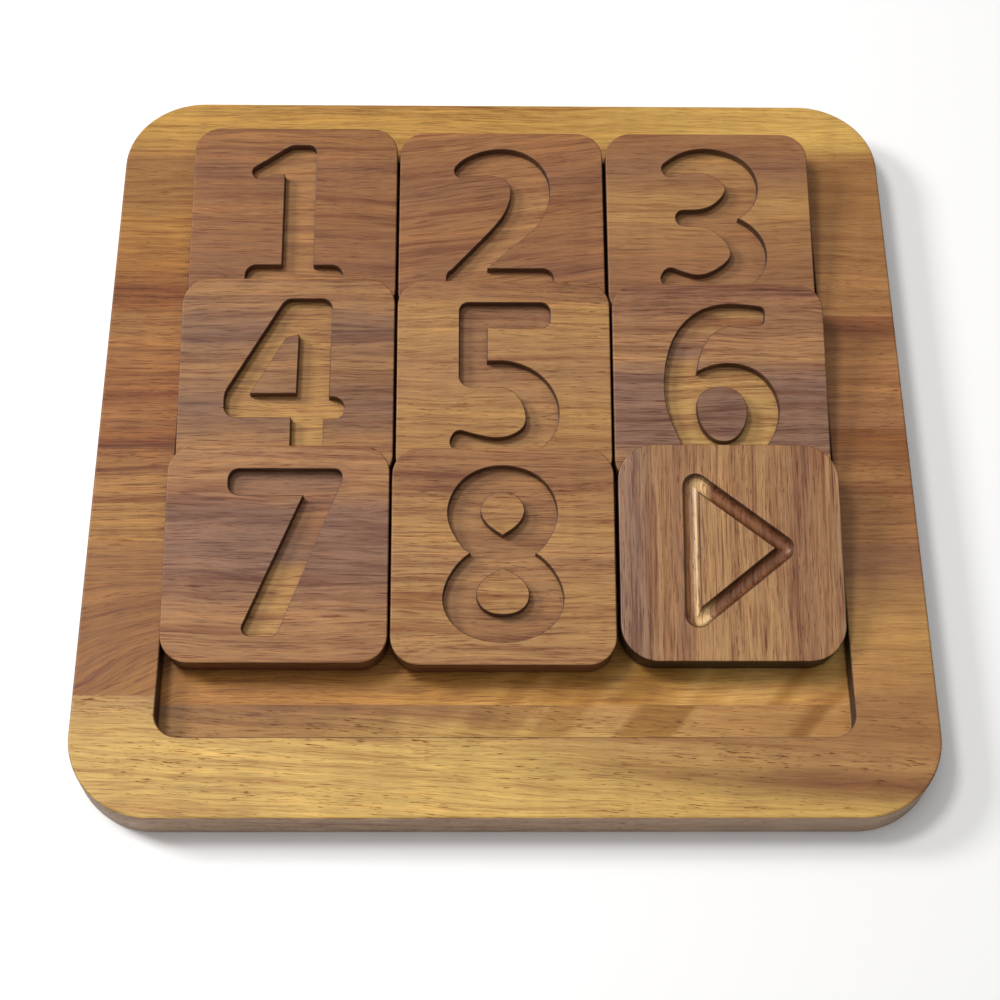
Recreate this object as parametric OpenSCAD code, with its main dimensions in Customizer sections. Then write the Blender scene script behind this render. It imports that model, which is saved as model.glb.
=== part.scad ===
// Wooden number-tile tray puzzle: eight numbered tiles and a start tile, resting shingled
// in a square tray. Origin at the centre of the tray's underside, +Y to the back, +Z up.

/* [Tray] */
// Width and depth of the square tray
tray_w = 280; // [272:1:300]
// Thickness of the tray board
tray_t = 15; // [13:0.5:22]
// Radius of the tray's outer corners
tray_r = 28; // [16:1:36]
// Width and depth of the square recess
recess_w = 226; // [225.6:0.2:228]
// Depth of the recess
recess_d = 8.5; // [8:0.25:9]
// Radius of the recess corners
recess_r = 8; // [5:0.5:9]

/* [Tiles] */
// Side of a square tile
tile_w = 74; // [73:0.25:74.4]
// Thickness of a tile
tile_t = 12; // [11:0.25:12.5]
// Corner radius of a numbered tile
tile_r = 9.5; // [6:0.5:12]
// Corner radius of the start tile
start_r = 12.5; // [8:0.5:16]
// Depth of the carved numerals
numeral_d = 3.5; // [2:0.5:6]
// Radius of the ball-nosed groove on the start tile
groove_r = 2.7; // [2.2:0.1:3.2]
// Height of the groove's centre line above the face of the start tile
groove_lift = 0.2; // [0:0.1:0.8]

/* [Layout] */
// Centre spacing of the three columns
pitch = 75; // [74.8:0.1:75.2]
// Front edge of the back row on the recess floor, behind the tray's centre
back_row_y = 45.5; // [44.9:0.2:46.1]
// Front edge of the middle row
middle_row_y = -21.1; // [-21.7:0.2:-20.5]
// Front edge of the front row
front_row_y = -86.9; // [-87.5:0.2:-86.3]
// Gap left between a tile and whatever it leans on
contact_gap = 0.12; // [0.05:0.01:0.2]

/* [Hidden] */
$fn = 96;

floor_z = tray_t - recess_d;
recess_half = recess_w / 2;

// Glue lines between the six boards, back to front, as places along Y
glue_y = [88, 46, 0, -44, -99];
stave_colors = ["#b98a4c", "#a9753c", "#a06a34", "#9c6730", "#a9753a", "#c99a55"];
tile_colors = ["#9c6d4c", "#9a6848", "#a06f49", "#8f6450", "#a97b50", "#8d6553", "#8c6352", "#a37750",
               "#8e6148"];
start_tile = 9;

// Centres of the start tile's triangle's three bends, the radius of the bends, and how far the
// balls that join its grooves stand proud of them
arrow = [[-11.1, 22.3], [16.5, 1.2], [-11.4, -21.3]];
arrow_bend = 1.6;
groove_join = 0.02;

// How far each tile sits from its place in the grid, [across, back], tile 1 first
nudge = [[-0.5, 0.8], [-0.6, -0.4], [-0.4, -0.6], [-0.1, 0.6], [-0.2, 0], [-0.4, -0.9], [-0.6, 0],
         [-0.8, -0.7], [-0.5, 0.7]];

// Facets along each numeral's fillets and between the control points of its curves
fillet_steps = 7;
curve_steps = 9;

// ---- Lean of the tiles ----

row_y = [back_row_y, middle_row_y, front_row_y];
function row_of(n) = floor((n - 1) / 3);
function column_of(n) = (n - 1) % 3;
function tile_x(n) = (column_of(n) - 1) * pitch + nudge[n - 1].x;
function tile_y(n) = row_y[row_of(n)] + nudge[n - 1].y;

// Slope of a line that starts at the front edge and passes contact_gap above a corner
// that is run further back and rise higher
function slope_over(run, rise) = atan2(rise, run) + asin(contact_gap / norm([run, rise]));

// Back edge of the recess where a tile's outer side passes over it, on the corner's arc if the
// tile reaches that far out
function rim_y(n) =
    let (
        straight = recess_half - recess_r,
        past = min(recess_r, max(0, abs(tile_x(n)) + tile_w / 2 - straight))
    )
    straight + sqrt(recess_r * recess_r - past * past);

// The back row leans on the rim, and each other row on the front edge of the tile behind it
function lean(n) = row_of(n) == 0
    ? slope_over(rim_y(n) - tile_y(n), recess_d - contact_gap)
    : let (rest = lean(n - 3))
      slope_over(tile_y(n - 3) - tile_t * sin(rest) - tile_y(n), tile_t * cos(rest));

// ---- Outlines ----

function unit(v) = v / norm(v);
function left_of(v) = [-v.y, v.x];
function xy(p) = [p.x, p.y];

// Arc that replaces the corner p between its neighbours a and b
function fillet(a, p, b, r) = r == 0 ? [p] :
    let (
        u = unit(a - p),
        v = unit(b - p),
        half = acos(u * v) / 2,
        centre = p + unit(u + v) * r / sin(half),
        from = p + u * r / tan(half) - centre,
        turn = (left_of(u) * v > 0 ? -1 : 1) * (180 - 2 * half)
    )
    [for (i = [0 : fillet_steps])
        let (a = turn * i / fillet_steps)
        centre + [from.x * cos(a) - from.y * sin(a), from.x * sin(a) + from.y * cos(a)]];

// Closed outline through [x, y, corner radius] points
function rounded(pts) = let (n = len(pts))
    [for (i = [0 : n - 1])
        each fillet(xy(pts[(i + n - 1) % n]), xy(pts[i]), xy(pts[(i + 1) % n]), pts[i].z)];

// Cubic B-spline between b and c with a and d as its outer neighbours
function spline(a, b, c, d, t) =
    (a * pow(1 - t, 3) + b * (3 * t * t * t - 6 * t * t + 4)
        + c * (3 * t + 3 * t * t - 3 * t * t * t + 1) + d * t * t * t) / 6;

// Moves b away from its neighbours by as much as a B-spline pulls it in
function push(a, b, c) = b + (2 * b - a - c) / 6;

// Samples of an open smooth curve that starts and ends at its first and last points
function smooth(pts) =
    let (
        n = len(pts) - 1,
        mid = [for (i = [1 : n - 1]) push(pts[i - 1], pts[i], pts[i + 1])],
        c = [2 * pts[0] - mid[0], pts[0], each mid, pts[n], 2 * pts[n] - mid[n - 2]]
    )
    [for (i = [0 : n - 1], j = [0 : curve_steps - 1])
        spline(c[i], c[i + 1], c[i + 2], c[i + 3], j / curve_steps),
     pts[n]];

// Samples of a closed smooth curve through its control points
function smooth_ring(pts) =
    let (
        n = len(pts),
        c = [for (i = [0 : n - 1]) push(pts[(i + n - 1) % n], pts[i], pts[(i + 1) % n])]
    )
    [for (i = [0 : n - 1], j = [0 : curve_steps - 1])
        spline(c[(i + n - 1) % n], c[i], c[(i + 1) % n], c[(i + 2) % n], j / curve_steps)];

// Half of a stroke's end, from its left side round to its right, with rounded corners
function cap(p, ahead, half, r) =
    let (side = left_of(ahead), a_step = 90 / fillet_steps)
    [for (i = [0 : fillet_steps]) let (a = a_step * i)
        p + side * (half - r + r * cos(a)) + ahead * r * sin(a),
     for (i = [0 : fillet_steps]) let (a = a_step * i)
        p - side * (half - r + r * sin(a)) + ahead * r * cos(a)];

// Outline of a stroke along [x, y, width] control points, with its ends rounded by r
function ribbon(pts, r) =
    let (
        c = smooth(pts),
        n = len(c) - 1,
        ahead = [for (i = [0 : n]) unit(xy(c[min(i + 1, n)] - c[max(i - 1, 0)]))]
    )
    [for (i = [1 : n - 1]) xy(c[i]) + left_of(ahead[i]) * c[i].z / 2,
     each cap(xy(c[n]), ahead[n], c[n].z / 2, min(r, c[n].z / 2)),
     for (i = [n - 1 : -1 : 1]) xy(c[i]) - left_of(ahead[i]) * c[i].z / 2,
     each cap(xy(c[0]), -ahead[0], c[0].z / 2, min(r, c[0].z / 2))];

module bar(x0, x1, y0, y1, r) {
    polygon(rounded([[x0, y0, r], [x1, y0, r], [x1, y1, r], [x0, y1, r]]));
}

module rounded_square(w, r) {
    square([w, w - 2 * r], center = true);
    square([w - 2 * r, w], center = true);
    for (x = [-1, 1], y = [-1, 1])
        translate([x * (w / 2 - r), y * (w / 2 - r)]) circle(r);
}

// ---- Numerals, as outlines on a tile with its centre at the origin ----

module numeral_1() {
    polygon(rounded([[-16.6, 19.8, 2.4], [-1.6, 30, 5], [7.4, 30, 3], [7.4, -20, 0], [-3.9, -20, 0],
                     [-3.9, 18.2, 0], [-8, 18.2, 3], [-14, 15.4, 2.4]]));
    bar(-16.8, 18, -27.8, -18.4, 4);
}

module numeral_2() {
    polygon(ribbon([[-14, 21.2, 6.2], [-11.5, 22.7, 7.8], [-5.4, 24.3, 10.2], [3.2, 23.8, 12.4],
                    [9.6, 18.2, 14.2], [10.2, 9.4, 14], [6.9, 1.4, 12.6], [1.4, -4.9, 10.4],
                    [-4, -10.7, 9.6], [-9.2, -16, 9], [-14, -21.4, 9]], 3.1));
    bar(-19.8, 18.6, -27.8, -18.4, 3.8);
}

module numeral_3() {
    polygon(ribbon([[-13.4, 22.4, 6.4], [-7.6, 24.9, 8.8], [0.4, 25.7, 10.2], [9.5, 21.5, 12.2],
                    [12.4, 14.9, 11.7], [9.7, 8.2, 11], [1, 2.9, 7.4], [-9, 2.4, 6.3]], 3));
    polygon(ribbon([[-4, 2.2, 6.4], [2.2, 1.4, 7.6], [10.4, -4, 11.4], [13.9, -11.6, 13],
                    [10.4, -19.4, 12.4], [-1.4, -25, 9.2], [-9.8, -23.6, 8.4], [-14.6, -21.4, 7.6]], 3.2));
}

module numeral_4() {
    difference() {
        union() {
            polygon(rounded([[-1, 29.4, 4.5], [15.2, 29.4, 3.5], [14.6, -14.2, 0], [-21.2, -14.2, 4],
                             [-21.2, -5.4, 8]]));
            bar(1.8, 12.9, -27.8, -11, 3.4);
            bar(8, 20.1, -15, -6.8, 4);
        }
        polygon([[3.9, 16.2], [3.5, -5.6], [-12.5, -5.6], [-0.6, 15]]);
    }
}

module numeral_5() {
    polygon(rounded([[-15.4, 28.8, 3.2], [16.2, 28.8, 3.2], [16.2, 19.5, 3], [-5.8, 19.5, 0],
                     [-5.8, -2.4, 0], [-15.4, -2.4, 4]]));
    polygon(ribbon([[-9, 2.3, 9.4], [-3, 2.3, 9.4], [1.6, 2, 9.6], [8.9, -1.9, 10.8],
                    [13.2, -10.8, 11.8], [10.6, -20.2, 9.6], [0, -25.3, 8.7], [-10.2, -23.8, 8.5],
                    [-15.2, -21.8, 7.2]], 3));
}

module numeral_6() {
    difference() {
        union() {
            polygon(ribbon([[14.3, 24.9, 7.2], [4.7, 25.4, 8], [-4.3, 22.6, 9.4], [-10.9, 14.4, 10.6],
                            [-13.7, 2, 11], [-12.9, -10, 11], [-8.3, -20, 11]], 2));
            polygon(smooth_ring([[-13.3, -2], [-7.3, 4.4], [2.7, 7.3], [13.3, 4.4], [19.3, -4.4],
                                 [19.5, -14], [13.1, -25], [0.7, -29.6], [-9.9, -26.4], [-15.9, -17]]));
        }
        polygon(smooth_ring([[-8, -5.8], [-4.9, -2.3], [0.7, -1.4], [5.8, -2.9], [8.9, -8], [8.2, -14.6],
                             [5, -19.6], [0.7, -21.2], [-3.6, -19.9], [-6.9, -15.6], [-8.1, -10.6]]));
    }
}

module numeral_7() {
    polygon(rounded([[-16.6, 28.8, 3.6], [21.2, 28.8, 2.6], [21.2, 25, 3], [0.8, -28, 3],
                     [-11.8, -28, 2.6], [8.4, 19.7, 0], [-16.6, 19.7, 3.6]]));
}

module numeral_8() {
    difference() {
        union() {
            polygon(smooth_ring([[-0.2, 30.8], [-13, 26.4], [-18.6, 15], [-15, 5.4], [-8, -1],
                                 [8, -1], [14.6, 5.4], [18.2, 15], [12.8, 26.4]]));
            polygon(smooth_ring([[-0.2, 3], [-12, 0], [-20.2, -13.6], [-14.4, -25.4],
                                 [-0.2, -29.4], [14.2, -25.4], [20.2, -13.6], [11.8, 0]]));
        }
        polygon([each smooth([[-0.2, 6.6], [5, 10.4], [7.2, 15.4], [4.6, 20.2], [-0.2, 21.6],
                              [-5, 20.2], [-7.6, 15.4], [-5.4, 10.4], [-0.2, 6.6]])]);
        polygon([each smooth([[-0.2, -4.4], [6, -8], [8.6, -13.4], [6.2, -18.6], [-0.2, -20.2],
                              [-6.4, -18.6], [-9, -13.4], [-6.4, -8], [-0.2, -4.4]])]);
    }
}

module numeral(n) {
    if (n == 1) numeral_1();
    if (n == 2) numeral_2();
    if (n == 3) numeral_3();
    if (n == 4) numeral_4();
    if (n == 5) numeral_5();
    if (n == 6) numeral_6();
    if (n == 7) numeral_7();
    if (n == 8) numeral_8();
}

// ---- Sub-parts ----

module tray_board() {
    difference() {
        linear_extrude(tray_t) rounded_square(tray_w, tray_r);
        translate([0, 0, floor_z]) linear_extrude(tray_t) rounded_square(recess_w, recess_r);
    }
}

// One board of the edge-glued tray, board 1 at the back
module stave(i) {
    back_y = i == 1 ? tray_w : glue_y[i - 2];
    front_y = i > len(glue_y) ? -tray_w : glue_y[i - 1];
    color(stave_colors[i - 1]) intersection() {
        tray_board();
        translate([-tray_w, front_y, -1]) cube([2 * tray_w, back_y - front_y, tray_t + 2]);
    }
}

// Puts a tile that is drawn flat, with its centre at the origin, in its leaning place
module place_tile(n) {
    translate([tile_x(n), tile_y(n), floor_z + contact_gap]) rotate([lean(n), 0, 0])
        translate([0, tile_w / 2, 0]) children();
}

module number_tile(n) {
    color(tile_colors[n - 1]) place_tile(n) difference() {
        linear_extrude(tile_t) rounded_square(tile_w, tile_r);
        translate([0, 0, tile_t - numeral_d]) linear_extrude(tile_t) numeral(n);
    }
}

// Round-bottomed groove from a to b, with its end at a rounded
module groove(a, b) {
    run = b - a;
    translate([a.x, a.y, tile_t + groove_lift]) {
        rotate([0, 90, atan2(run.y, run.x)]) cylinder(h = norm(run), r = groove_r);
        sphere(groove_r + groove_join);
    }
}

// Both ends of each bend of the triangle
arrow_path = [for (i = [0 : 2])
    let (
        c = arrow[i],
        a = left_of(unit(c - arrow[(i + 2) % 3])),
        b = left_of(unit(arrow[(i + 1) % 3] - c))
    )
    each [c + a * arrow_bend, c + b * arrow_bend]];

module start_tile() {
    color(tile_colors[start_tile - 1]) place_tile(start_tile) difference() {
        linear_extrude(tile_t) rounded_square(tile_w, start_r);
        for (i = [0 : 5]) groove(arrow_path[i], arrow_path[(i + 1) % 6], $fn = 60);
    }
}

stave(1);  // stave_1
stave(2);  // stave_2
stave(3);  // stave_3
stave(4);  // stave_4
stave(5);  // stave_5
stave(6);  // stave_6
number_tile(1);  // tile_1
number_tile(2);  // tile_2
number_tile(3);  // tile_3
number_tile(4);  // tile_4
number_tile(5);  // tile_5
number_tile(6);  // tile_6
number_tile(7);  // tile_7
number_tile(8);  // tile_8
start_tile();  // tile_start
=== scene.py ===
import math

import bmesh
import bpy
from mathutils import Matrix, Vector
from mathutils.geometry import delaunay_2d_cdt


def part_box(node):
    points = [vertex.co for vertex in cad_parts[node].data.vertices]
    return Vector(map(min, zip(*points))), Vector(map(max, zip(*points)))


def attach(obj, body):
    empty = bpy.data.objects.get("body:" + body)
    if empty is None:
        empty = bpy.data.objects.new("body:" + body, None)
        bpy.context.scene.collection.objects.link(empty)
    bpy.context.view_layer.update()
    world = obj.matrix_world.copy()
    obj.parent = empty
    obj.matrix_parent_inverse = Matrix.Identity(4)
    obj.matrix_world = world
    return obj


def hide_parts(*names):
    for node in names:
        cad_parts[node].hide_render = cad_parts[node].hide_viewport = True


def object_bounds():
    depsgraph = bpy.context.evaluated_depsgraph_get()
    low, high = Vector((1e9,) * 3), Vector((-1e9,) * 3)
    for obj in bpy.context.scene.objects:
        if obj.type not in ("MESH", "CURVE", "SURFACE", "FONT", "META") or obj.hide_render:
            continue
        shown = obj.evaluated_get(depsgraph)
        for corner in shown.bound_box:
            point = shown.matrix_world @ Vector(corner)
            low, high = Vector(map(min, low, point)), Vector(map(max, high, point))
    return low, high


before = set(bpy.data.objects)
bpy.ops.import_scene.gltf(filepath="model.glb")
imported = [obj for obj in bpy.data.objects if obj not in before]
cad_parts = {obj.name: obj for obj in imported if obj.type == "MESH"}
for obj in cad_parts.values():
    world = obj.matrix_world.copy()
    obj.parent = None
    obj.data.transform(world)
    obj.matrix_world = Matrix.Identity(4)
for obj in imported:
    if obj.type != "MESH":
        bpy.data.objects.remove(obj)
cad_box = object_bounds()

MM = 0.001
SCENE = bpy.context.scene

# ---------------------------------------------------------------- camera, floor and light

TRAY_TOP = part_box("stave_3")[1].z
CAMERA_PLACE = Vector((-0.01223, -0.32184, 0.57988 + TRAY_TOP))
CAMERA_DOWN = math.radians(63.12)
CAMERA_YAW = math.radians(-2.07)
CAMERA_ROLL = math.radians(1.97)
CAMERA_LENS = 68.82
FLOOR_HALF = 4.0


def add_camera():
    data = bpy.data.cameras.new("camera")
    data.lens = CAMERA_LENS
    data.sensor_width = 36
    data.clip_start = 0.01
    camera = bpy.data.objects.new("camera", data)
    turn = Matrix.Rotation(CAMERA_YAW, 4, "Z")
    tip = Matrix.Rotation(math.radians(90) - CAMERA_DOWN, 4, "X")
    roll = Matrix.Rotation(CAMERA_ROLL, 4, "Z")
    camera.matrix_world = Matrix.Translation(CAMERA_PLACE) @ turn @ tip @ roll
    SCENE.collection.objects.link(camera)
    SCENE.camera = camera


def add_area(name, place, size, watts, color=(1, 1, 1)):
    """A square light aimed at the middle of the tray's underside."""
    data = bpy.data.lights.new(name, "AREA")
    data.size = size
    data.energy = watts
    data.color = color
    light = bpy.data.objects.new(name, data)
    light.location = place
    light.rotation_euler = (Vector() - Vector(place)).to_track_quat("-Z", "Y").to_euler()
    SCENE.collection.objects.link(light)


def add_stage():
    mesh = bpy.data.meshes.new("floor")
    half = FLOOR_HALF
    corners = [(-half, -half, 0), (half, -half, 0), (half, half, 0), (-half, half, 0)]
    mesh.from_pydata(corners, [], [(0, 1, 2, 3)])
    floor = bpy.data.objects.new("floor", mesh)
    material = bpy.data.materials.new("floor_white")
    material.use_nodes = True
    shader = material.node_tree.nodes["Principled BSDF"]
    shader.inputs["Base Color"].default_value = (0.93, 0.93, 0.93, 1)
    shader.inputs["Roughness"].default_value = 0.9
    shader.inputs["Specular IOR Level"].default_value = 0.1
    mesh.materials.append(material)
    SCENE.collection.objects.link(floor)


def add_light():
    world = bpy.data.worlds.new("studio")
    world.use_nodes = True
    world.node_tree.nodes["Background"].inputs["Color"].default_value = (1, 1, 1, 1)
    world.node_tree.nodes["Background"].inputs["Strength"].default_value = 0.21
    SCENE.world = world
    SCENE.view_settings.view_transform = "Standard"
    add_area("key", (-0.62, 0.25, 1.3), 0.3, 8.0, (1, 0.985, 0.965))
    add_area("low_key", (-1.15, 0.4, 0.85), 0.35, 13.4, (1, 0.99, 0.98))
    add_area("overhead", (0.0, 0.0, 1.3), 1.5, 7.0)


# ---------------------------------------------------------------- shader helpers


def linear(hex_color):
    """A colour such as "b08450" as linear RGBA."""
    out = []
    for i in (0, 2, 4):
        c = int(hex_color[i:i + 2], 16) / 255
        out.append(c / 12.92 if c <= 0.04045 else ((c + 0.055) / 1.055) ** 2.4)
    return (*out, 1)


class Nodes:
    """Short calls that add nodes to a material and join them."""

    def __init__(self, material):
        self.tree = material.node_tree

    def put(self, kind, settings=None, **inputs):
        """A new node. Its inputs are given by name, with _ for a space, or as i0, i1 by number."""
        node = self.tree.nodes.new(kind)
        for key, value in (settings or {}).items():
            setattr(node, key, value)
        for key, value in inputs.items():
            by_number = key[0] == "i" and key[1:].isdigit()
            self.feed(node.inputs[int(key[1:]) if by_number else key.replace("_", " ")], value)
        return node

    def feed(self, socket, value):
        """Links a socket to an input, or sets the input to a plain value."""
        if isinstance(value, bpy.types.NodeSocket):
            self.tree.links.new(value, socket)
        else:
            socket.default_value = value

    def attribute(self, name, output="Fac"):
        return self.put("ShaderNodeAttribute", {"attribute_name": name}).outputs[output]

    def math(self, operation, a, b=0.0, c=0.0, clamp=False):
        node = self.put("ShaderNodeMath", {"operation": operation, "use_clamp": clamp}, i0=a, i1=b, i2=c)
        return node.outputs[0]

    def scaled(self, vector, scale, shift=(0, 0, 0)):
        node = self.put("ShaderNodeMapping", None, Vector=vector, Scale=scale, Location=shift)
        return node.outputs[0]

    def noise(self, vector, detail=2.0, roughness=0.5, distortion=0.0):
        node = self.put("ShaderNodeTexNoise", None, Vector=vector, Scale=1.0, Detail=detail,
                        Roughness=roughness, Distortion=distortion)
        return node.outputs["Fac"]

    def span(self, value, low, high, to_low=0.0, to_high=1.0):
        """The value, with low to high carried over to to_low to to_high and held beyond them."""
        node = self.put("ShaderNodeMapRange", {"clamp": True}, Value=value, From_Min=low, From_Max=high,
                        To_Min=to_low, To_Max=to_high)
        return node.outputs[0]

    def ramp(self, value, stops):
        """stops is [(place from 0 to 1, colour)]."""
        node = self.put("ShaderNodeValToRGB", None, Fac=value)
        ramp = node.color_ramp
        while len(ramp.elements) < len(stops):
            ramp.elements.new(1.0)
        for element, (place, color) in zip(ramp.elements, stops):
            element.position = place
        for element, (place, color) in zip(ramp.elements, stops):
            element.color = linear(color)
        return node.outputs["Color"]

    def mix(self, factor, a, b, blend="MIX"):
        node = self.put("ShaderNodeMix", {"data_type": "RGBA", "blend_type": blend}, i0=factor, i6=a, i7=b)
        return node.outputs[2]

    def tinted(self, factor, tone, tint):
        """The tone, multiplied by a tint as far as the factor says."""
        return self.mix(factor, tone, self.mix(1.0, tone, tint, "MULTIPLY"))


# ---------------------------------------------------------------- wood

# Places on the tray, in millimetres of its X or Y, between which the figure of its boards, and the tint and
# painted light of its routed floor, change.
LEFT_TO_RIGHT = (-10, 100)
SWIRL_LEFT_OF = -108
SWIRL_BACK_TO_FRONT = (-58, -94)
FLOOR_TINT_LEFT_TO_RIGHT = (-40, 50)
LIGHT_STRIPES_LEFT_TO_RIGHT = (-75, 40)

# Tints that the figure multiplies the wood's own colour by, and, last, the tint of the painted stripes of
# light on the routed floor.
RED_LINE = linear("c59a85")
YELLOW_LINE = (1.32, 1.28, 1.16, 1)
THIN_LINE = linear("b08670")
PORE = linear("a06c4c")
LIGHT_STRIPE = linear("d6c9a8")


# The tones that the bands of wood are picked from.
TONES = {
    "pale": "d8b080",
    "straw": "c8a060",
    "honey": "b08450",
    "tan": "a47850",
    "nut": "986a44",
    "rust": "905c38",
    "brown": "8c6044",
    "plum": "886452",
    "umber": "7a4c30",
}


def bands(stops, low, high):
    """Stops given as places in millimetres across the grain, as ramp places."""
    return [((place - low) / (high - low), TONES[tone]) for place, tone in stops]


def bent_grain(n, grain, shift, drift, slope, swirl):
    """Bends the grain with slow waves that its lines then follow. Returns the bent point, how far it is
    across the grain, and the slow wave."""
    wave = n.noise(n.scaled(grain, (0.013, 0.05, 0.05), shift), 2.0, 0.5, 0.3)
    ripple = n.noise(n.scaled(grain, (0.05, 0.3, 0.3), shift), 3.0, 0.6)
    x, y, z = n.put("ShaderNodeSeparateXYZ", None, Vector=grain).outputs
    across = n.math("MULTIPLY_ADD", x, slope, y)
    across = n.math("MULTIPLY_ADD", z, 0.45, across)
    if swirl:
        past = n.math("MAXIMUM", n.math("SUBTRACT", SWIRL_LEFT_OF, x), 0.0)
        amount = n.math("MULTIPLY", n.span(y, *SWIRL_BACK_TO_FRONT), swirl)
        across = n.math("MULTIPLY_ADD", past, amount, across)
    across = n.math("MULTIPLY_ADD", n.math("SUBTRACT", wave, 0.5), drift * 4, across)
    bent = n.put("ShaderNodeCombineXYZ", None, X=x, Y=across, Z=z).outputs[0]
    across = n.math("MULTIPLY_ADD", n.math("SUBTRACT", ripple, 0.5), drift * 1.4, across)
    return bent, across, wave


def banded(n, across, change, first, second):
    """The colour bands, changing from the first ones to the second."""
    low, high = first[0][0], first[-1][0]
    place = n.span(across, low, high)
    return n.mix(change, n.ramp(place, bands(first, low, high)), n.ramp(place, bands(second, low, high)))


def routed_floor_tint_and_light(n, tone, grain, routed, wave, seed, floor_tint_and_light):
    """Tints a board's routed floor from its left tint to its right one, partly the newly cut wood's own
    tone and partly painted light, and paints pale slanting stripes of light, stronger to the right.
    """
    x, y, z = n.put("ShaderNodeSeparateXYZ", None, Vector=grain).outputs
    place = n.span(n.math("ADD", x, n.math("MULTIPLY", wave, 60)), *FLOOR_TINT_LEFT_TO_RIGHT)
    tone = n.tinted(routed, tone, n.mix(place, (*floor_tint_and_light[0], 1), (*floor_tint_and_light[1], 1)))
    # Painted light: pale slanting stripes across the routed floor, stronger towards the right.
    slant = n.math("MULTIPLY_ADD", y, -0.05, n.math("MULTIPLY", x, 0.06))
    light_stripe = n.noise(n.put("ShaderNodeCombineXYZ", None, X=slant, Y=seed).outputs[0], 1.0, 0.4)
    where = n.math("MULTIPLY", routed, n.span(x, *LIGHT_STRIPES_LEFT_TO_RIGHT))
    return n.tinted(n.math("MULTIPLY", n.span(light_stripe, 0.56, 0.44), where), tone, LIGHT_STRIPE)


def growth_lines(n, tone, bent, shift, strength):
    """Broad lines that turn redder as they darken, then thin dark ones. Returns the tone and the thin
    lines' own pattern."""
    broad = n.noise(n.scaled(bent, (0.012, 0.34, 0.2), shift), 3.0, 0.6, 0.2)
    redder = n.math("MULTIPLY", n.span(broad, 0.5, 0.72, 0, 0.75), strength)
    tone = n.tinted(redder, tone, RED_LINE)
    yellower = n.math("MULTIPLY", n.span(broad, 0.48, 0.28, 0, 0.8), strength)
    tone = n.tinted(yellower, tone, YELLOW_LINE)
    line = n.noise(n.scaled(bent, (0.034, 1.15, 0.6), shift), 4.0, 0.7, 0.1)
    short = n.noise(n.scaled(bent, (0.09, 2.3, 1.2), shift), 2.0, 0.6)
    thin = n.math("MAXIMUM", n.span(line, 0.52, 0.7), n.span(short, 0.54, 0.7))
    thin = n.math("MULTIPLY", n.math("MULTIPLY", thin, 0.85), strength)
    return n.tinted(thin, tone, THIN_LINE), line


def pore_dashes(n, bent, shift, seed, amount):
    """Short dark dashes that gather in some bands."""
    dash = n.noise(n.scaled(bent, (0.24, 2.8, 1.5), shift), 1.5, 0.5)
    gather = n.noise(n.scaled(bent, (0.02, 0.12, 0.12), (seed * 3.1, seed, 4.0)), 2.0, 0.5)
    limit = n.span(gather, 0.32, 0.66, 0.71, 0.6)
    pore = n.math("MULTIPLY", n.math("SUBTRACT", dash, limit), 12.0, clamp=True)
    return n.math("MULTIPLY", pore, amount)


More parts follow.
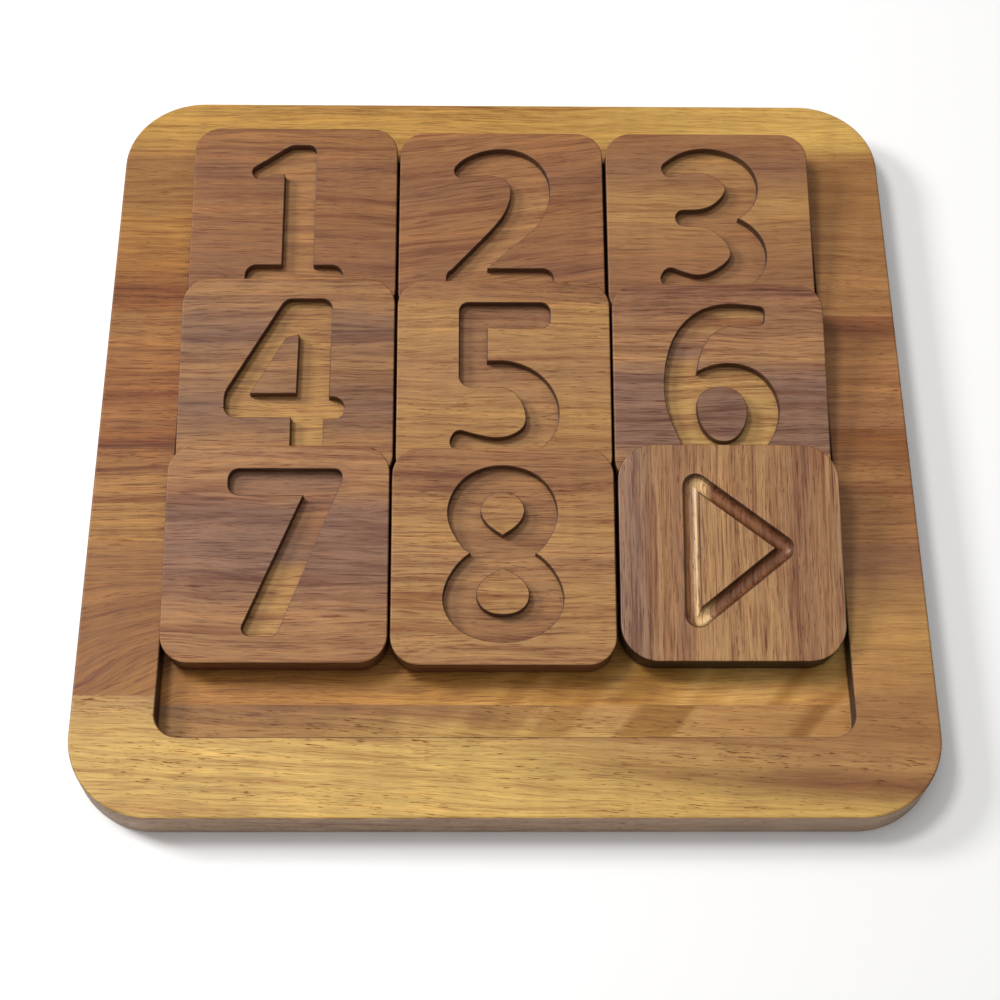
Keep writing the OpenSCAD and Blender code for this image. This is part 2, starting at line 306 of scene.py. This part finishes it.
def wood(name, seed, tint, face=None, cut=None, left=None, right=None, floor_tint_and_light=None, side="7a5539",
         wall="5a3f2e", drift=2.5, pores=0.6, streaks=1.0, slope=0.0, gloss=0.5, polish=0.0, swirl=0.0):
    """Oiled wood, for a mesh with the attributes that finish_piece writes.

    Its colours are bands across the grain, in millimetres. A tile gives face, for its sanded faces, and
    cut, for its newly routed surfaces; on the start tile cut also paints a highlight along its left
    groove. A long board gives left and right, for its two ends. tint multiplies the colours. On a long
    board it is a pair, one for each end, and so is floor_tint_and_light, the tints of its routed floor,
    partly the newly cut wood's own tone and partly painted light. side and wall are the colours that
    faces marked dark turn to: painted shade on the outer sides, and on the routed walls partly the
    scorch of the cut and partly painted shade. drift, slope and swirl bend the lines. streaks and pores
    are their strength. gloss is the roughness of the faces, and polish is how much smoother the routed
    surfaces are."""
    material = bpy.data.materials.new(name)
    material.use_nodes = True
    n = Nodes(material)
    shader = n.tree.nodes["Principled BSDF"]
    grain = n.attribute("grain", "Vector")
    end = n.attribute("end")
    routed = n.attribute("routed")
    dark = n.attribute("dark")
    shift = (seed * 37.1, seed * 11.7, seed * 5.3)
    bent, across, wave = bent_grain(n, grain, shift, drift, slope, swirl)

    if face:
        tone = n.mix(1.0, banded(n, across, routed, face, cut), (*tint, 1), "MULTIPLY")
        strength = streaks
    else:
        x = n.put("ShaderNodeSeparateXYZ", None, Vector=grain).outputs[0]
        along = n.span(x, *LEFT_TO_RIGHT)
        both_tints = n.mix(along, (*tint[0], 1), (*tint[1], 1))
        tone = n.mix(1.0, banded(n, across, along, left, right), both_tints, "MULTIPLY")
        strength = n.math("MULTIPLY", n.span(along, 0, 1, 1.0, 0.6), streaks)
    # The routed floor's tints: partly the newly cut wood's own tone and partly painted light, with painted
    # stripes of light.
    if floor_tint_and_light:
        tone = routed_floor_tint_and_light(n, tone, grain, routed, wave, seed, floor_tint_and_light)
    # Painted shade: faces marked dark turn to the side colour, or on routed faces to the wall colour, which
    # is partly the scorch of the cut.
    tone = n.mix(dark, tone, n.mix(routed, linear(side), linear(wall)))
    tone, line = growth_lines(n, tone, bent, shift, strength)
    pore = pore_dashes(n, bent, shift, seed, pores)

    # Fine fibres, the light that a figured board throws back in patches, and darker end grain.
    fibre = n.noise(n.scaled(bent, (0.1, 2.3, 1.5), shift), 3.0, 0.65)
    figure = n.noise(n.scaled(bent, (0.07, 0.02, 0.02), shift), 2.0, 0.5, 0.9)
    shade = n.math("MULTIPLY", n.span(fibre, 0.28, 0.72, 0.84, 1.17), n.span(figure, 0.3, 0.7, 0.94, 1.06))
    shade = n.math("MULTIPLY", shade, n.span(end, 0.25, 1.0, 1.0, 0.55))
    grey = n.put("ShaderNodeCombineColor", None, Red=shade, Green=shade, Blue=shade).outputs[0]
    n.feed(shader.inputs["Base Color"], n.tinted(pore, n.mix(1.0, tone, grey, "MULTIPLY"), PORE))

    rough = n.span(line, 0.3, 0.7, gloss + 0.08, gloss - 0.05)
    rough = n.math("MULTIPLY_ADD", routed, -polish, rough)
    rough = n.math("MULTIPLY_ADD", pore, 0.25, rough)
    n.feed(shader.inputs["Roughness"], rough)
    shader.inputs["Specular IOR Level"].default_value = 0.3

    height = n.math("MULTIPLY_ADD", pore, -0.7, n.math("MULTIPLY", fibre, 0.5))
    height = n.math("MULTIPLY_ADD", line, -0.5, height)
    bump = n.put("ShaderNodeBump", None, Height=height, Strength=0.5, Distance=0.12 * MM)
    n.feed(shader.inputs["Normal"], bump.outputs[0])
    return material


# ---------------------------------------------------------------- mesh helpers


def welded(node):
    """The CAD node's mesh with its split vertices joined."""
    bm = bmesh.new()
    bm.from_mesh(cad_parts[node].data)
    bmesh.ops.remove_doubles(bm, verts=bm.verts, dist=1e-6)
    return bm


def area_of(loop):
    """Signed area of a closed outline."""
    return sum(a[0] * b[1] - b[0] * a[1] for a, b in zip(loop, loop[1:] + loop[:1])) / 2


def inside(point, loops):
    """Whether a point is inside an odd number of outlines."""
    x, y = point
    odd = False
    for loop in loops:
        for a, b in zip(loop, loop[1:] + loop[:1]):
            if (a[1] > y) != (b[1] > y) and x < a[0] + (y - a[1]) * (b[0] - a[0]) / (b[1] - a[1]):
                odd = not odd
    return odd


def level_loops(bm, height, tolerance=2e-6):
    """The outlines of the faces that lie at one height, as lists of (x, y)."""
    flat = [f for f in bm.faces if all(abs(v.co.z - height) < tolerance for v in f.verts)]
    level = set(flat)
    follow = {}
    for f in flat:
        for loop in f.loops:
            if not any(g in level for g in loop.edge.link_faces if g != f):
                follow[loop.vert] = loop.link_loop_next.vert
    loops = []
    while follow:
        start = next(iter(follow))
        chain = []
        vert = start
        while vert in follow:
            chain.append((vert.co.x, vert.co.y))
            vert = follow.pop(vert)
        loops.append(chain)
    return loops


def rounded_square(half, r, steps):
    """Outline of a square with round corners, counter-clockwise."""
    out = []
    for quarter, (sx, sy) in enumerate(((1, 1), (-1, 1), (-1, -1), (1, -1))):
        for i in range(steps + 1):
            a = math.radians(90 * (quarter + i / steps))
            out.append((sx * (half - r) + r * math.cos(a), sy * (half - r) + r * math.sin(a)))
    return out


def grown(loop, distance):
    """An outline moved outwards, to the right of its direction of travel. Where a short side would
    turn back on itself its ends become one point, and the sides next to it meet there."""
    count = len(loop)
    spots = [Vector(p) for p in loop]
    ahead = [(spots[(i + 1) % count] - spots[i]).normalized() for i in range(count)]
    normals = [Vector((u.y, -u.x)) for u in ahead]

    def corner(i, j):
        """Where sides i and j meet once they have moved outwards."""
        push = normals[i] + normals[j]
        if push.length < 1e-6:
            push = normals[i]
        push = push.normalized()
        turn = ahead[i].cross(ahead[j])
        if (i + 1) % count == j or abs(turn) < 1e-3:
            return spots[j] + push * distance / max(push.dot(normals[i]), 0.35)
        a = spots[i] + normals[i] * distance
        b = spots[j] + normals[j] * distance
        return a + ahead[i] * ((b - a).cross(ahead[j]) / turn)

    sides = list(range(count))
    while True:
        corners = [corner(sides[k - 1], side) for k, side in enumerate(sides)]
        nexts = corners[1:] + corners[:1]
        kept = [side for side, p, q in zip(sides, corners, nexts) if (q - p).dot(ahead[side]) > 0]
        if len(kept) == len(sides):
            break
        sides = kept
    out = []
    k = 0
    for i in range(count):
        while k < len(sides) and sides[k] < i:
            k += 1
        spot = corners[k % len(corners)]
        out.append((spot.x, spot.y))
    return out


SHARP_ANGLE = math.radians(38)


class Builder:
    """Collects a closed mesh in layers, in a flat local frame. Each face has two marks for its wood: how
    far it is a routed surface, and how far it is painted dark as a side or wall, which is painted shade
    and on routed walls partly the scorch of the cut."""

    def __init__(self):
        self.bm = bmesh.new()
        self.routed = self.bm.faces.layers.float.new("routed_face")
        self.dark = self.bm.faces.layers.float.new("dark_face")

    def ring(self, loop, z):
        return [self.bm.verts.new((x, y, z)) for x, y in loop]

    def skin(self, rings, routed=0.0, dark=0.0):
        """Quads between one ring and the next, with each ring to the left of the one before."""
        for low, high in zip(rings, rings[1:]):
            count = len(low)
            for i in range(count):
                j = (i + 1) % count
                face = self.bm.faces.new((low[i], low[j], high[j], high[i]))
                face.smooth = True
                face[self.routed] = routed
                face[self.dark] = dark

    def cap(self, loops, z, up=True, routed=0.0):
        """A flat face between outlines, filled with triangles."""
        points, edges = [], []
        for loop in loops:
            first = len(points)
            apart = [p for i, p in enumerate(loop) if p != loop[i - 1]]
            points += [Vector(p) for p in apart]
            edges += [(first + i, first + (i + 1) % len(apart)) for i in range(len(apart))]
        made = delaunay_2d_cdt(points, edges, [], 0, 1e-9)
        verts = [self.bm.verts.new((p.x, p.y, z)) for p in made[0]]
        for tri in made[2]:
            middle = sum((made[0][i] for i in tri), Vector((0, 0))) / 3
            if not inside(middle, loops):
                continue
            flip = area_of([made[0][i] for i in tri]) < 0
            corners = [verts[i] for i in tri]
            if flip == up:
                corners.reverse()
            face = self.bm.faces.new(corners)
            face[self.routed] = routed
        for v in verts:
            if not v.link_faces:
                self.bm.verts.remove(v)

    def done(self):
        """Welds the layers and marks the sharp edges."""
        bmesh.ops.remove_doubles(self.bm, verts=self.bm.verts, dist=1e-6)
        bmesh.ops.recalc_face_normals(self.bm, faces=self.bm.faces)
        for e in self.bm.edges:
            if len(e.link_faces) == 2 and e.calc_face_angle(0) > SHARP_ANGLE:
                e.smooth = False
        return self.bm


def rounding(r, steps):
    """(inset, drop) pairs along a quarter round of radius r, from the flat to the side."""
    out = []
    for i in range(steps + 1):
        a = math.radians(90 * i / steps)
        out.append((r - r * math.sin(a), r - r * math.cos(a)))
    return out


ALONG_X = Vector((1, 0, 0))
ALONG_Y = Vector((0, 1, 0))


def finish_piece(bm, name, material, along, place, body, replaces):
    """Turns a built mesh into a piece whose grain runs along ALONG_X or ALONG_Y, with the attributes that
    its wood reads: the place in the grain in millimetres, how far a face shows end grain, and its marks."""
    routed = bm.faces.layers.float.get("routed_face")
    dark = bm.faces.layers.float.get("dark_face")
    bm.normal_update()
    marks = [(f[routed], f[dark]) for f in bm.faces]
    mesh = bpy.data.meshes.new(name)
    bm.to_mesh(mesh)
    bm.free()
    for layer in ("routed_face", "dark_face"):
        mesh.attributes.remove(mesh.attributes[layer])
    grain = mesh.attributes.new("grain", "FLOAT_VECTOR", "POINT")
    for i, v in enumerate(mesh.vertices):
        x, y, z = v.co / MM
        grain.data[i].vector = (x, y, z) if along == ALONG_X else (y, -x, z)
    for attribute in ("end", "routed", "dark"):
        mesh.attributes.new(attribute, "FLOAT", "CORNER")
    for polygon in mesh.polygons:
        for i in polygon.loop_indices:
            mesh.attributes["end"].data[i].value = abs(polygon.normal.dot(along))
            mesh.attributes["routed"].data[i].value = marks[polygon.index][0]
            mesh.attributes["dark"].data[i].value = marks[polygon.index][1]
    mesh.materials.append(material)
    piece = bpy.data.objects.new(name, mesh)
    piece.matrix_world = place
    SCENE.collection.objects.link(piece)
    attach(piece, body)
    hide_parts(*replaces)
    return piece


# ---------------------------------------------------------------- tiles

EDGE_ROUND = 0.5 * MM
NUMERAL_ROUND = 0.28 * MM
FLOOR_ROUND = 0.35 * MM
ROUND_STEPS = 4
CARVED_ROUND_STEPS = 3
CORNER_STEPS = 14


def tile_place(node):
    """The tile's own flat frame, with its origin at the middle of its underside and Z out of its face,
    and the tile's size in it."""
    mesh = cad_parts[node].data
    normal = Vector((0, 0, 0))
    for polygon in mesh.polygons:
        if polygon.normal.z < -0.9:
            normal -= polygon.normal * polygon.area
    normal.normalize()
    turn = Matrix((ALONG_X, normal.cross(ALONG_X), normal))
    local = [turn @ v.co for v in mesh.vertices]
    low = Vector(min(p[i] for p in local) for i in range(3))
    high = Vector(max(p[i] for p in local) for i in range(3))
    middle = Vector(((low.x + high.x) / 2, (low.y + high.y) / 2, low.z))
    return Matrix.Translation(turn.transposed() @ middle) @ turn.transposed().to_4x4(), high - low


def tile_outline(loops, half):
    """The tile's outline as a true rounded square, with the corner radius that the CAD has, and the
    CAD's own outline."""
    outer = max(loops, key=lambda loop: abs(area_of(loop)))
    straight = max(abs(x) for x, y in outer if abs(abs(y) - half) < 5e-6)
    return rounded_square(half, half - straight, CORNER_STEPS), outer


def blank(build, outline, thickness):
    """Underside, side and top edge of a tile. Returns the outline that its top face fills."""
    rise = rounding(EDGE_ROUND, ROUND_STEPS)
    rings = [build.ring(grown(outline, -inset), drop) for inset, drop in rise]
    rings += [build.ring(grown(outline, -inset), thickness - drop) for inset, drop in reversed(rise)]
    # The underside round, the sides and the lower part of the top round take the side colour: painted shade.
    build.skin(rings[:-2], dark=1.0)
    build.skin(rings[-3:])
    inner = grown(outline, -EDGE_ROUND)
    build.cap([inner], 0, up=False)
    return inner


def number_tile(node):
    """A tile whose numeral is carved as deep as the CAD's, with the CAD's outlines."""
    place, size = tile_place(node)
    bm = welded(node)
    bm.transform(place.inverted())
    thickness = size.z
    half = size.x / 2
    loops = level_loops(bm, thickness)
    heights = sorted({round(v.co.z, 6) for v in bm.verts})
    floor_z = heights[1]
    bm.free()
    outline, cad_outer = tile_outline(loops, half)
    carved = [loop for loop in loops if loop is not cad_outer]
    carved = [loop if area_of(loop) > 0 else loop[::-1] for loop in carved]

    build = Builder()
    top = [blank(build, outline, thickness)]
    floor = []
    for loop in carved:
        island = inside(loop[0], [other for other in carved if other is not loop])
        out = -1 if island else 1
        lip = [build.ring(grown(loop, out * inset), thickness - drop)
               for inset, drop in rounding(NUMERAL_ROUND, CARVED_ROUND_STEPS)]
        foot = [build.ring(grown(loop, -out * inset), floor_z + drop)
                for inset, drop in reversed(rounding(FLOOR_ROUND, CARVED_ROUND_STEPS))]
        # The lip and walls are painted dark, partly the scorch of the cut and partly painted shade; the
        # foot's round carries lighter painted shade in the crease.
        build.skin(lip, 0.6, 1.0)
        build.skin([lip[-1], foot[0]], 1.0, 0.9)
        build.skin(foot, 1.0, 0.35)
        top.append(grown(loop, out * NUMERAL_ROUND))
        floor.append(grown(loop, -out * FLOOR_ROUND))
    build.cap(top, thickness)
    build.cap(floor, floor_z, routed=1.0)
    return build.done(), place


# The bands of each tile's wood run from its front to its back, and the start tile's from right to left.
TILE_WOODS = {
    "tile_1": dict(
        face=[(-37, "nut"), (-10, "brown"), (8, "nut"), (24, "brown"), (37, "nut")],
        cut=[(-37, "tan"), (37, "tan")],
        tint=(0.85, 0.79, 0.58), seed=1.3, drift=2.0, pores=0.45, streaks=1.0),
    "tile_2": dict(
        face=[(-37, "tan"), (-20, "brown"), (8, "nut"), (22, "brown"), (37, "nut")],
        cut=[(-37, "tan"), (10, "tan"), (37, "nut")],
        tint=(0.90, 0.85, 0.71), seed=2.7, drift=1.5, pores=0.35, streaks=1.0, slope=-0.12),
    "tile_3": dict(
        face=[(-37, "brown"), (-8, "nut"), (14, "honey"), (28, "brown"), (37, "nut")],
        cut=[(-37, "tan"), (0, "nut"), (37, "honey")],
        tint=(0.89, 0.88, 0.82), seed=3.9, drift=1.8, pores=0.3, streaks=0.8),
    "tile_4": dict(
        face=[(-37, "plum"), (-19, "tan"), (-6, "plum"), (10, "tan"), (22, "plum"), (37, "tan")],
        cut=[(-37, "straw"), (0, "honey"), (37, "honey")],
        tint=(0.83, 0.79, 0.63), seed=4.4, drift=2.0, pores=0.4, streaks=1.15),
    "tile_5": dict(
        face=[(-37, "nut"), (-8, "honey"), (8, "tan"), (33, "honey"), (37, "nut")],
        cut=[(-37, "honey"), (0, "tan"), (37, "brown")],
        tint=(0.92, 0.91, 0.80), seed=5.2, drift=1.5, pores=0.75, streaks=0.95),
    "tile_6": dict(
        face=[(-37, "tan"), (-24, "tan"), (-17, "plum"), (8, "plum"), (15, "tan"), (37, "brown")],
        cut=[(-37, "straw"), (12, "honey"), (16, "plum"), (22, "tan"), (37, "honey")],
        tint=(0.95, 0.96, 0.90), seed=6.1, drift=1.5, pores=0.45, streaks=1.2),
    "tile_7": dict(
        face=[(-37, "tan"), (-18, "tan"), (0, "plum"), (20, "plum"), (27, "tan"), (37, "tan")],
        cut=[(-37, "straw"), (-2, "honey"), (3, "plum"), (14, "nut"), (37, "plum")],
        tint=(0.91, 0.87, 0.76), seed=7.6, drift=1.8, pores=0.4, streaks=1.2),
    "tile_8": dict(
        face=[(-37, "tan"), (-10, "honey"), (4, "tan"), (13, "honey"), (30, "nut"), (37, "nut")],
        cut=[(-37, "tan"), (-24, "nut"), (0, "tan"), (37, "nut")],
        tint=(0.94, 0.94, 0.85), seed=8.3, drift=1.5, pores=0.7, streaks=1.15),
    # The start tile's cut bands paint a highlight: the pale band lies along its left groove. Its dark side
    # colour is painted shade.
    "tile_start": dict(
        face=[(-37, "plum"), (-27, "tan"), (-20, "brown"), (-8, "tan"), (16, "tan"), (22, "brown"),
              (28, "tan"), (37, "plum")],
        cut=[(-37, "umber"), (10, "umber"), (13, "pale"), (15, "pale"), (18, "brown"), (37, "brown")],
        tint=(1.03, 1.10, 1.05), seed=9.8, drift=0.5, pores=0.9, streaks=1.2, gloss=0.42, polish=0.14,
        side="3c2b24"),
}


# The carved triangle of the start tile, a round-nosed groove that bends round these three points.
ARROW = [Vector((-11.4, -21.3)) * MM, Vector((16.5, 1.2)) * MM, Vector((-11.1, 22.3)) * MM]
ARROW_BEND = 1.6 * MM
GROOVE_R = 2.7 * MM
GROOVE_LIFT = 0.2 * MM
GROOVE_HALF = math.sqrt(GROOVE_R ** 2 - GROOVE_LIFT ** 2)
GROOVE_LIP = 0.25 * MM
BEND_STEPS = 12
SIDE_STEPS = 24


def arrow_ring(away):
    """The carved triangle's line moved outwards by a distance, or inwards if it is negative."""
    away += ARROW_BEND
    sides = []
    for i, corner in enumerate(ARROW):
        side = (ARROW[(i + 1) % 3] - corner).normalized()
        sides.append(Vector((side.y, -side.x)))
    bends = []
    for i, corner in enumerate(ARROW):
        before, after = sides[i - 1], sides[i]
        if away <= 0:
            mitre = (before + after) / (1 + before.dot(after))
            bends.append([corner + mitre * away] * (BEND_STEPS + 1))
        else:
            turn = math.atan2(before.cross(after), before.dot(after))
            steps = range(BEND_STEPS + 1)
            bends.append([corner + Matrix.Rotation(turn * k / BEND_STEPS, 2) @ before * away for k in steps])
    out = []
    for i, bend in enumerate(bends):
        end = bends[(i + 1) % 3][0]
        out += bend + [bend[-1].lerp(end, k / SIDE_STEPS) for k in range(1, SIDE_STEPS)]
    return [(p.x, p.y) for p in out]


def groove_depth(away):
    """How deep the groove is at a distance from its middle line."""
    return math.sqrt(max(GROOVE_R ** 2 - away ** 2, 0)) - GROOVE_LIFT


def start_tile(node):
    """The tile with the carved triangle."""
    place, size = tile_place(node)
    bm = welded(node)
    bm.transform(place.inverted())
    outline, cad_outer = tile_outline(level_loops(bm, size.z), size.x / 2)
    bm.free()
    build = Builder()
    edge = blank(build, outline, size.z)
    lip = GROOVE_HALF + GROOVE_LIP
    # Pairs of a distance from the groove's middle line and a depth, from the lip down.
    profile = [(lip, 0), (GROOVE_HALF + 0.08 * MM, 0.03 * MM), (GROOVE_HALF - 0.05 * MM, 0.16 * MM)]
    profile += [(d * MM, groove_depth(d * MM)) for d in (2.5, 2.25, 1.9, 1.5, 1.1, 0.55)]
    rings = [build.ring(arrow_ring(d), size.z - depth) for d, depth in profile]
    rings.append(build.ring(arrow_ring(0), size.z - groove_depth(0)))
    rings += [build.ring(arrow_ring(-d), size.z - depth) for d, depth in reversed(profile)]
    # The groove's sides are painted darker, most at the lip and not at all at the bottom: painted shade.
    build.skin(rings[:4], 1.0, 0.95)
    build.skin(rings[3:6], 1.0, 0.6)
    build.skin(rings[5:-5], 1.0, 0.0)
    build.skin(rings[-6:-3], 1.0, 0.6)
    build.skin(rings[-4:], 1.0, 0.95)
    build.cap([edge, arrow_ring(lip), arrow_ring(-lip)], size.z)
    return build.done(), place


for tile, look in TILE_WOODS.items():
    if tile == "tile_start":
        made, at = start_tile(tile)
        along, slot = ALONG_Y, "start_tile_wood"
    else:
        made, at = number_tile(tile)
        along, slot = ALONG_X, "tile_wood"
    finish_piece(made, tile + "_wood", wood(tile + "_wood", **look), along, at, tile, [tile])

# ---------------------------------------------------------------- tray

TRAY_R = 28 * MM
RECESS_HALF = 113 * MM
RECESS_R = 8 * MM
RECESS_DEPTH = 8.5 * MM
TRAY_LOW_ROUND = 1.0 * MM
TRAY_HIGH_ROUND = 0.8 * MM
RECESS_ROUND = 0.5 * MM
# The colour of the tray's outer sides: painted shade.
SHADED_STAVE_SIDE = "a58970"

# The bands of each board's wood run from its front to its back, in the tray's own Y.
STAVE_WOODS = {
    "stave_1": dict(
        left=[(88, "honey"), (120, "tan"), (130, "straw"), (140, "straw")],
        right=[(88, "nut"), (120, "nut"), (130, "straw"), (140, "straw")],
        tint=((0.72, 0.65, 0.45), (0.99, 0.99, 0.76)),
        seed=11.2, drift=1.5, pores=0.5, streaks=0.9),
    "stave_2": dict(
        left=[(46, "tan"), (60, "rust"), (88, "honey")],
        right=[(46, "umber"), (54, "nut"), (88, "nut")],
        tint=((0.80, 0.71, 0.44), (1.04, 1.07, 0.88)),
        seed=12.9, drift=1.2, pores=0.7, streaks=1.15),
    "stave_3": dict(
        left=[(0, "nut"), (20, "rust"), (46, "nut")],
        right=[(0, "brown"), (24, "nut"), (40, "nut"), (46, "umber")],
        tint=((0.93, 0.91, 0.64), (1.13, 1.12, 0.96)),
        seed=13.4, drift=1.2, pores=0.8, streaks=1.2),
    "stave_4": dict(
        left=[(-44, "honey"), (-14, "tan"), (0, "rust")],
        right=[(-44, "brown"), (-12, "brown"), (0, "umber")],
        tint=((0.84, 0.79, 0.52), (1.20, 1.22, 0.82)),
        seed=14.8, drift=1.2, pores=0.8, streaks=1.35),
    "stave_5": dict(
        left=[(-99, "honey"), (-68, "nut"), (-44, "tan")],
        right=[(-99, "nut"), (-68, "honey"), (-44, "brown")],
        tint=((0.79, 0.70, 0.46), (1.02, 1.02, 0.84)),
        # Floor tints: partly the newly cut wood's own tone and partly painted light, brighter to the right.
        floor_tint_and_light=((1.27, 1.22, 1.1), (1.87, 2.15, 1.95)),
        seed=15.1, drift=1.5, pores=0.5, streaks=1.0, swirl=0.5),
    "stave_6": dict(
        left=[(-140, "straw"), (-112, "straw"), (-99, "tan")],
        right=[(-140, "honey"), (-126, "straw"), (-116, "umber"), (-110, "tan"), (-99, "nut")],
        # Its floor tints too are partly painted light, brighter to the right.
        tint=((0.96, 1.00, 0.84), (1.00, 1.02, 0.82)), floor_tint_and_light=((0.64, 0.52, 0.52), (1.35, 1.45, 1.35)),
        seed=16.6, drift=1.8, pores=0.9, streaks=0.9, slope=0.06),
}


def tray_mesh():
    """The whole tray as one closed mesh, in the frame's own axes."""
    build = Builder()
    outline = rounded_square(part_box("stave_3")[1].x, TRAY_R, 20)
    rings = [build.ring(grown(outline, -inset), drop) for inset, drop in rounding(TRAY_LOW_ROUND, 5)]
    rings += [build.ring(grown(outline, -inset), TRAY_TOP - drop)
              for inset, drop in reversed(rounding(TRAY_HIGH_ROUND, 5))]
    # The sides, with the lower rounds, take the side colour: painted shade.
    build.skin(rings[:-3], dark=1.0)
    build.skin(rings[-4:])
    build.cap([grown(outline, -TRAY_LOW_ROUND)], 0, up=False)
    recess = rounded_square(RECESS_HALF, RECESS_R, 12)
    floor_z = TRAY_TOP - RECESS_DEPTH
    profile = rounding(RECESS_ROUND, 4)
    lip = [build.ring(grown(recess, inset), TRAY_TOP - drop) for inset, drop in profile]
    foot = [build.ring(grown(recess, -inset), floor_z + drop) for inset, drop in reversed(profile)]
    # The recess's lip, walls and foot are painted darker: painted shade in the recess, and on the walls
    # partly the scorch of the cut.
    build.skin(lip, 0.8, 0.7)
    build.skin([lip[-1], foot[0]], 1.0, 1.0)
    build.skin(foot, 1.0, 0.3)
    build.cap([grown(outline, -TRAY_HIGH_ROUND), grown(recess, RECESS_ROUND)], TRAY_TOP)
    build.cap([grown(recess, -RECESS_ROUND)], floor_z, routed=1.0)
    return build.done()


def cut_board(front, back):
    """The stretch of the tray between two places in Y, closed where it is cut."""
    board = tray.copy()
    for edge_y, side in ((front, -1), (back, 1)):
        if abs(edge_y) < cad_box[1].y - MM:
            bmesh.ops.bisect_plane(
                board, geom=board.verts[:] + board.edges[:] + board.faces[:], dist=1e-7,
                plane_co=(0, edge_y, 0), plane_no=(0, side, 0), clear_outer=True)
            open_edges = [e for e in board.edges if e.is_boundary]
            bmesh.ops.holes_fill(board, edges=open_edges, sides=0)
            for e in open_edges:
                e.smooth = False
    return board


tray = tray_mesh()
for stave, look in STAVE_WOODS.items():
    board = cut_board(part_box(stave)[0].y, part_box(stave)[1].y)
    material = wood(stave + "_wood", side=SHADED_STAVE_SIDE, **look)
    finish_piece(board, stave + "_wood", material, ALONG_X, Matrix(), "tray", [stave])
tray.free()

add_camera()
add_stage()
add_light()
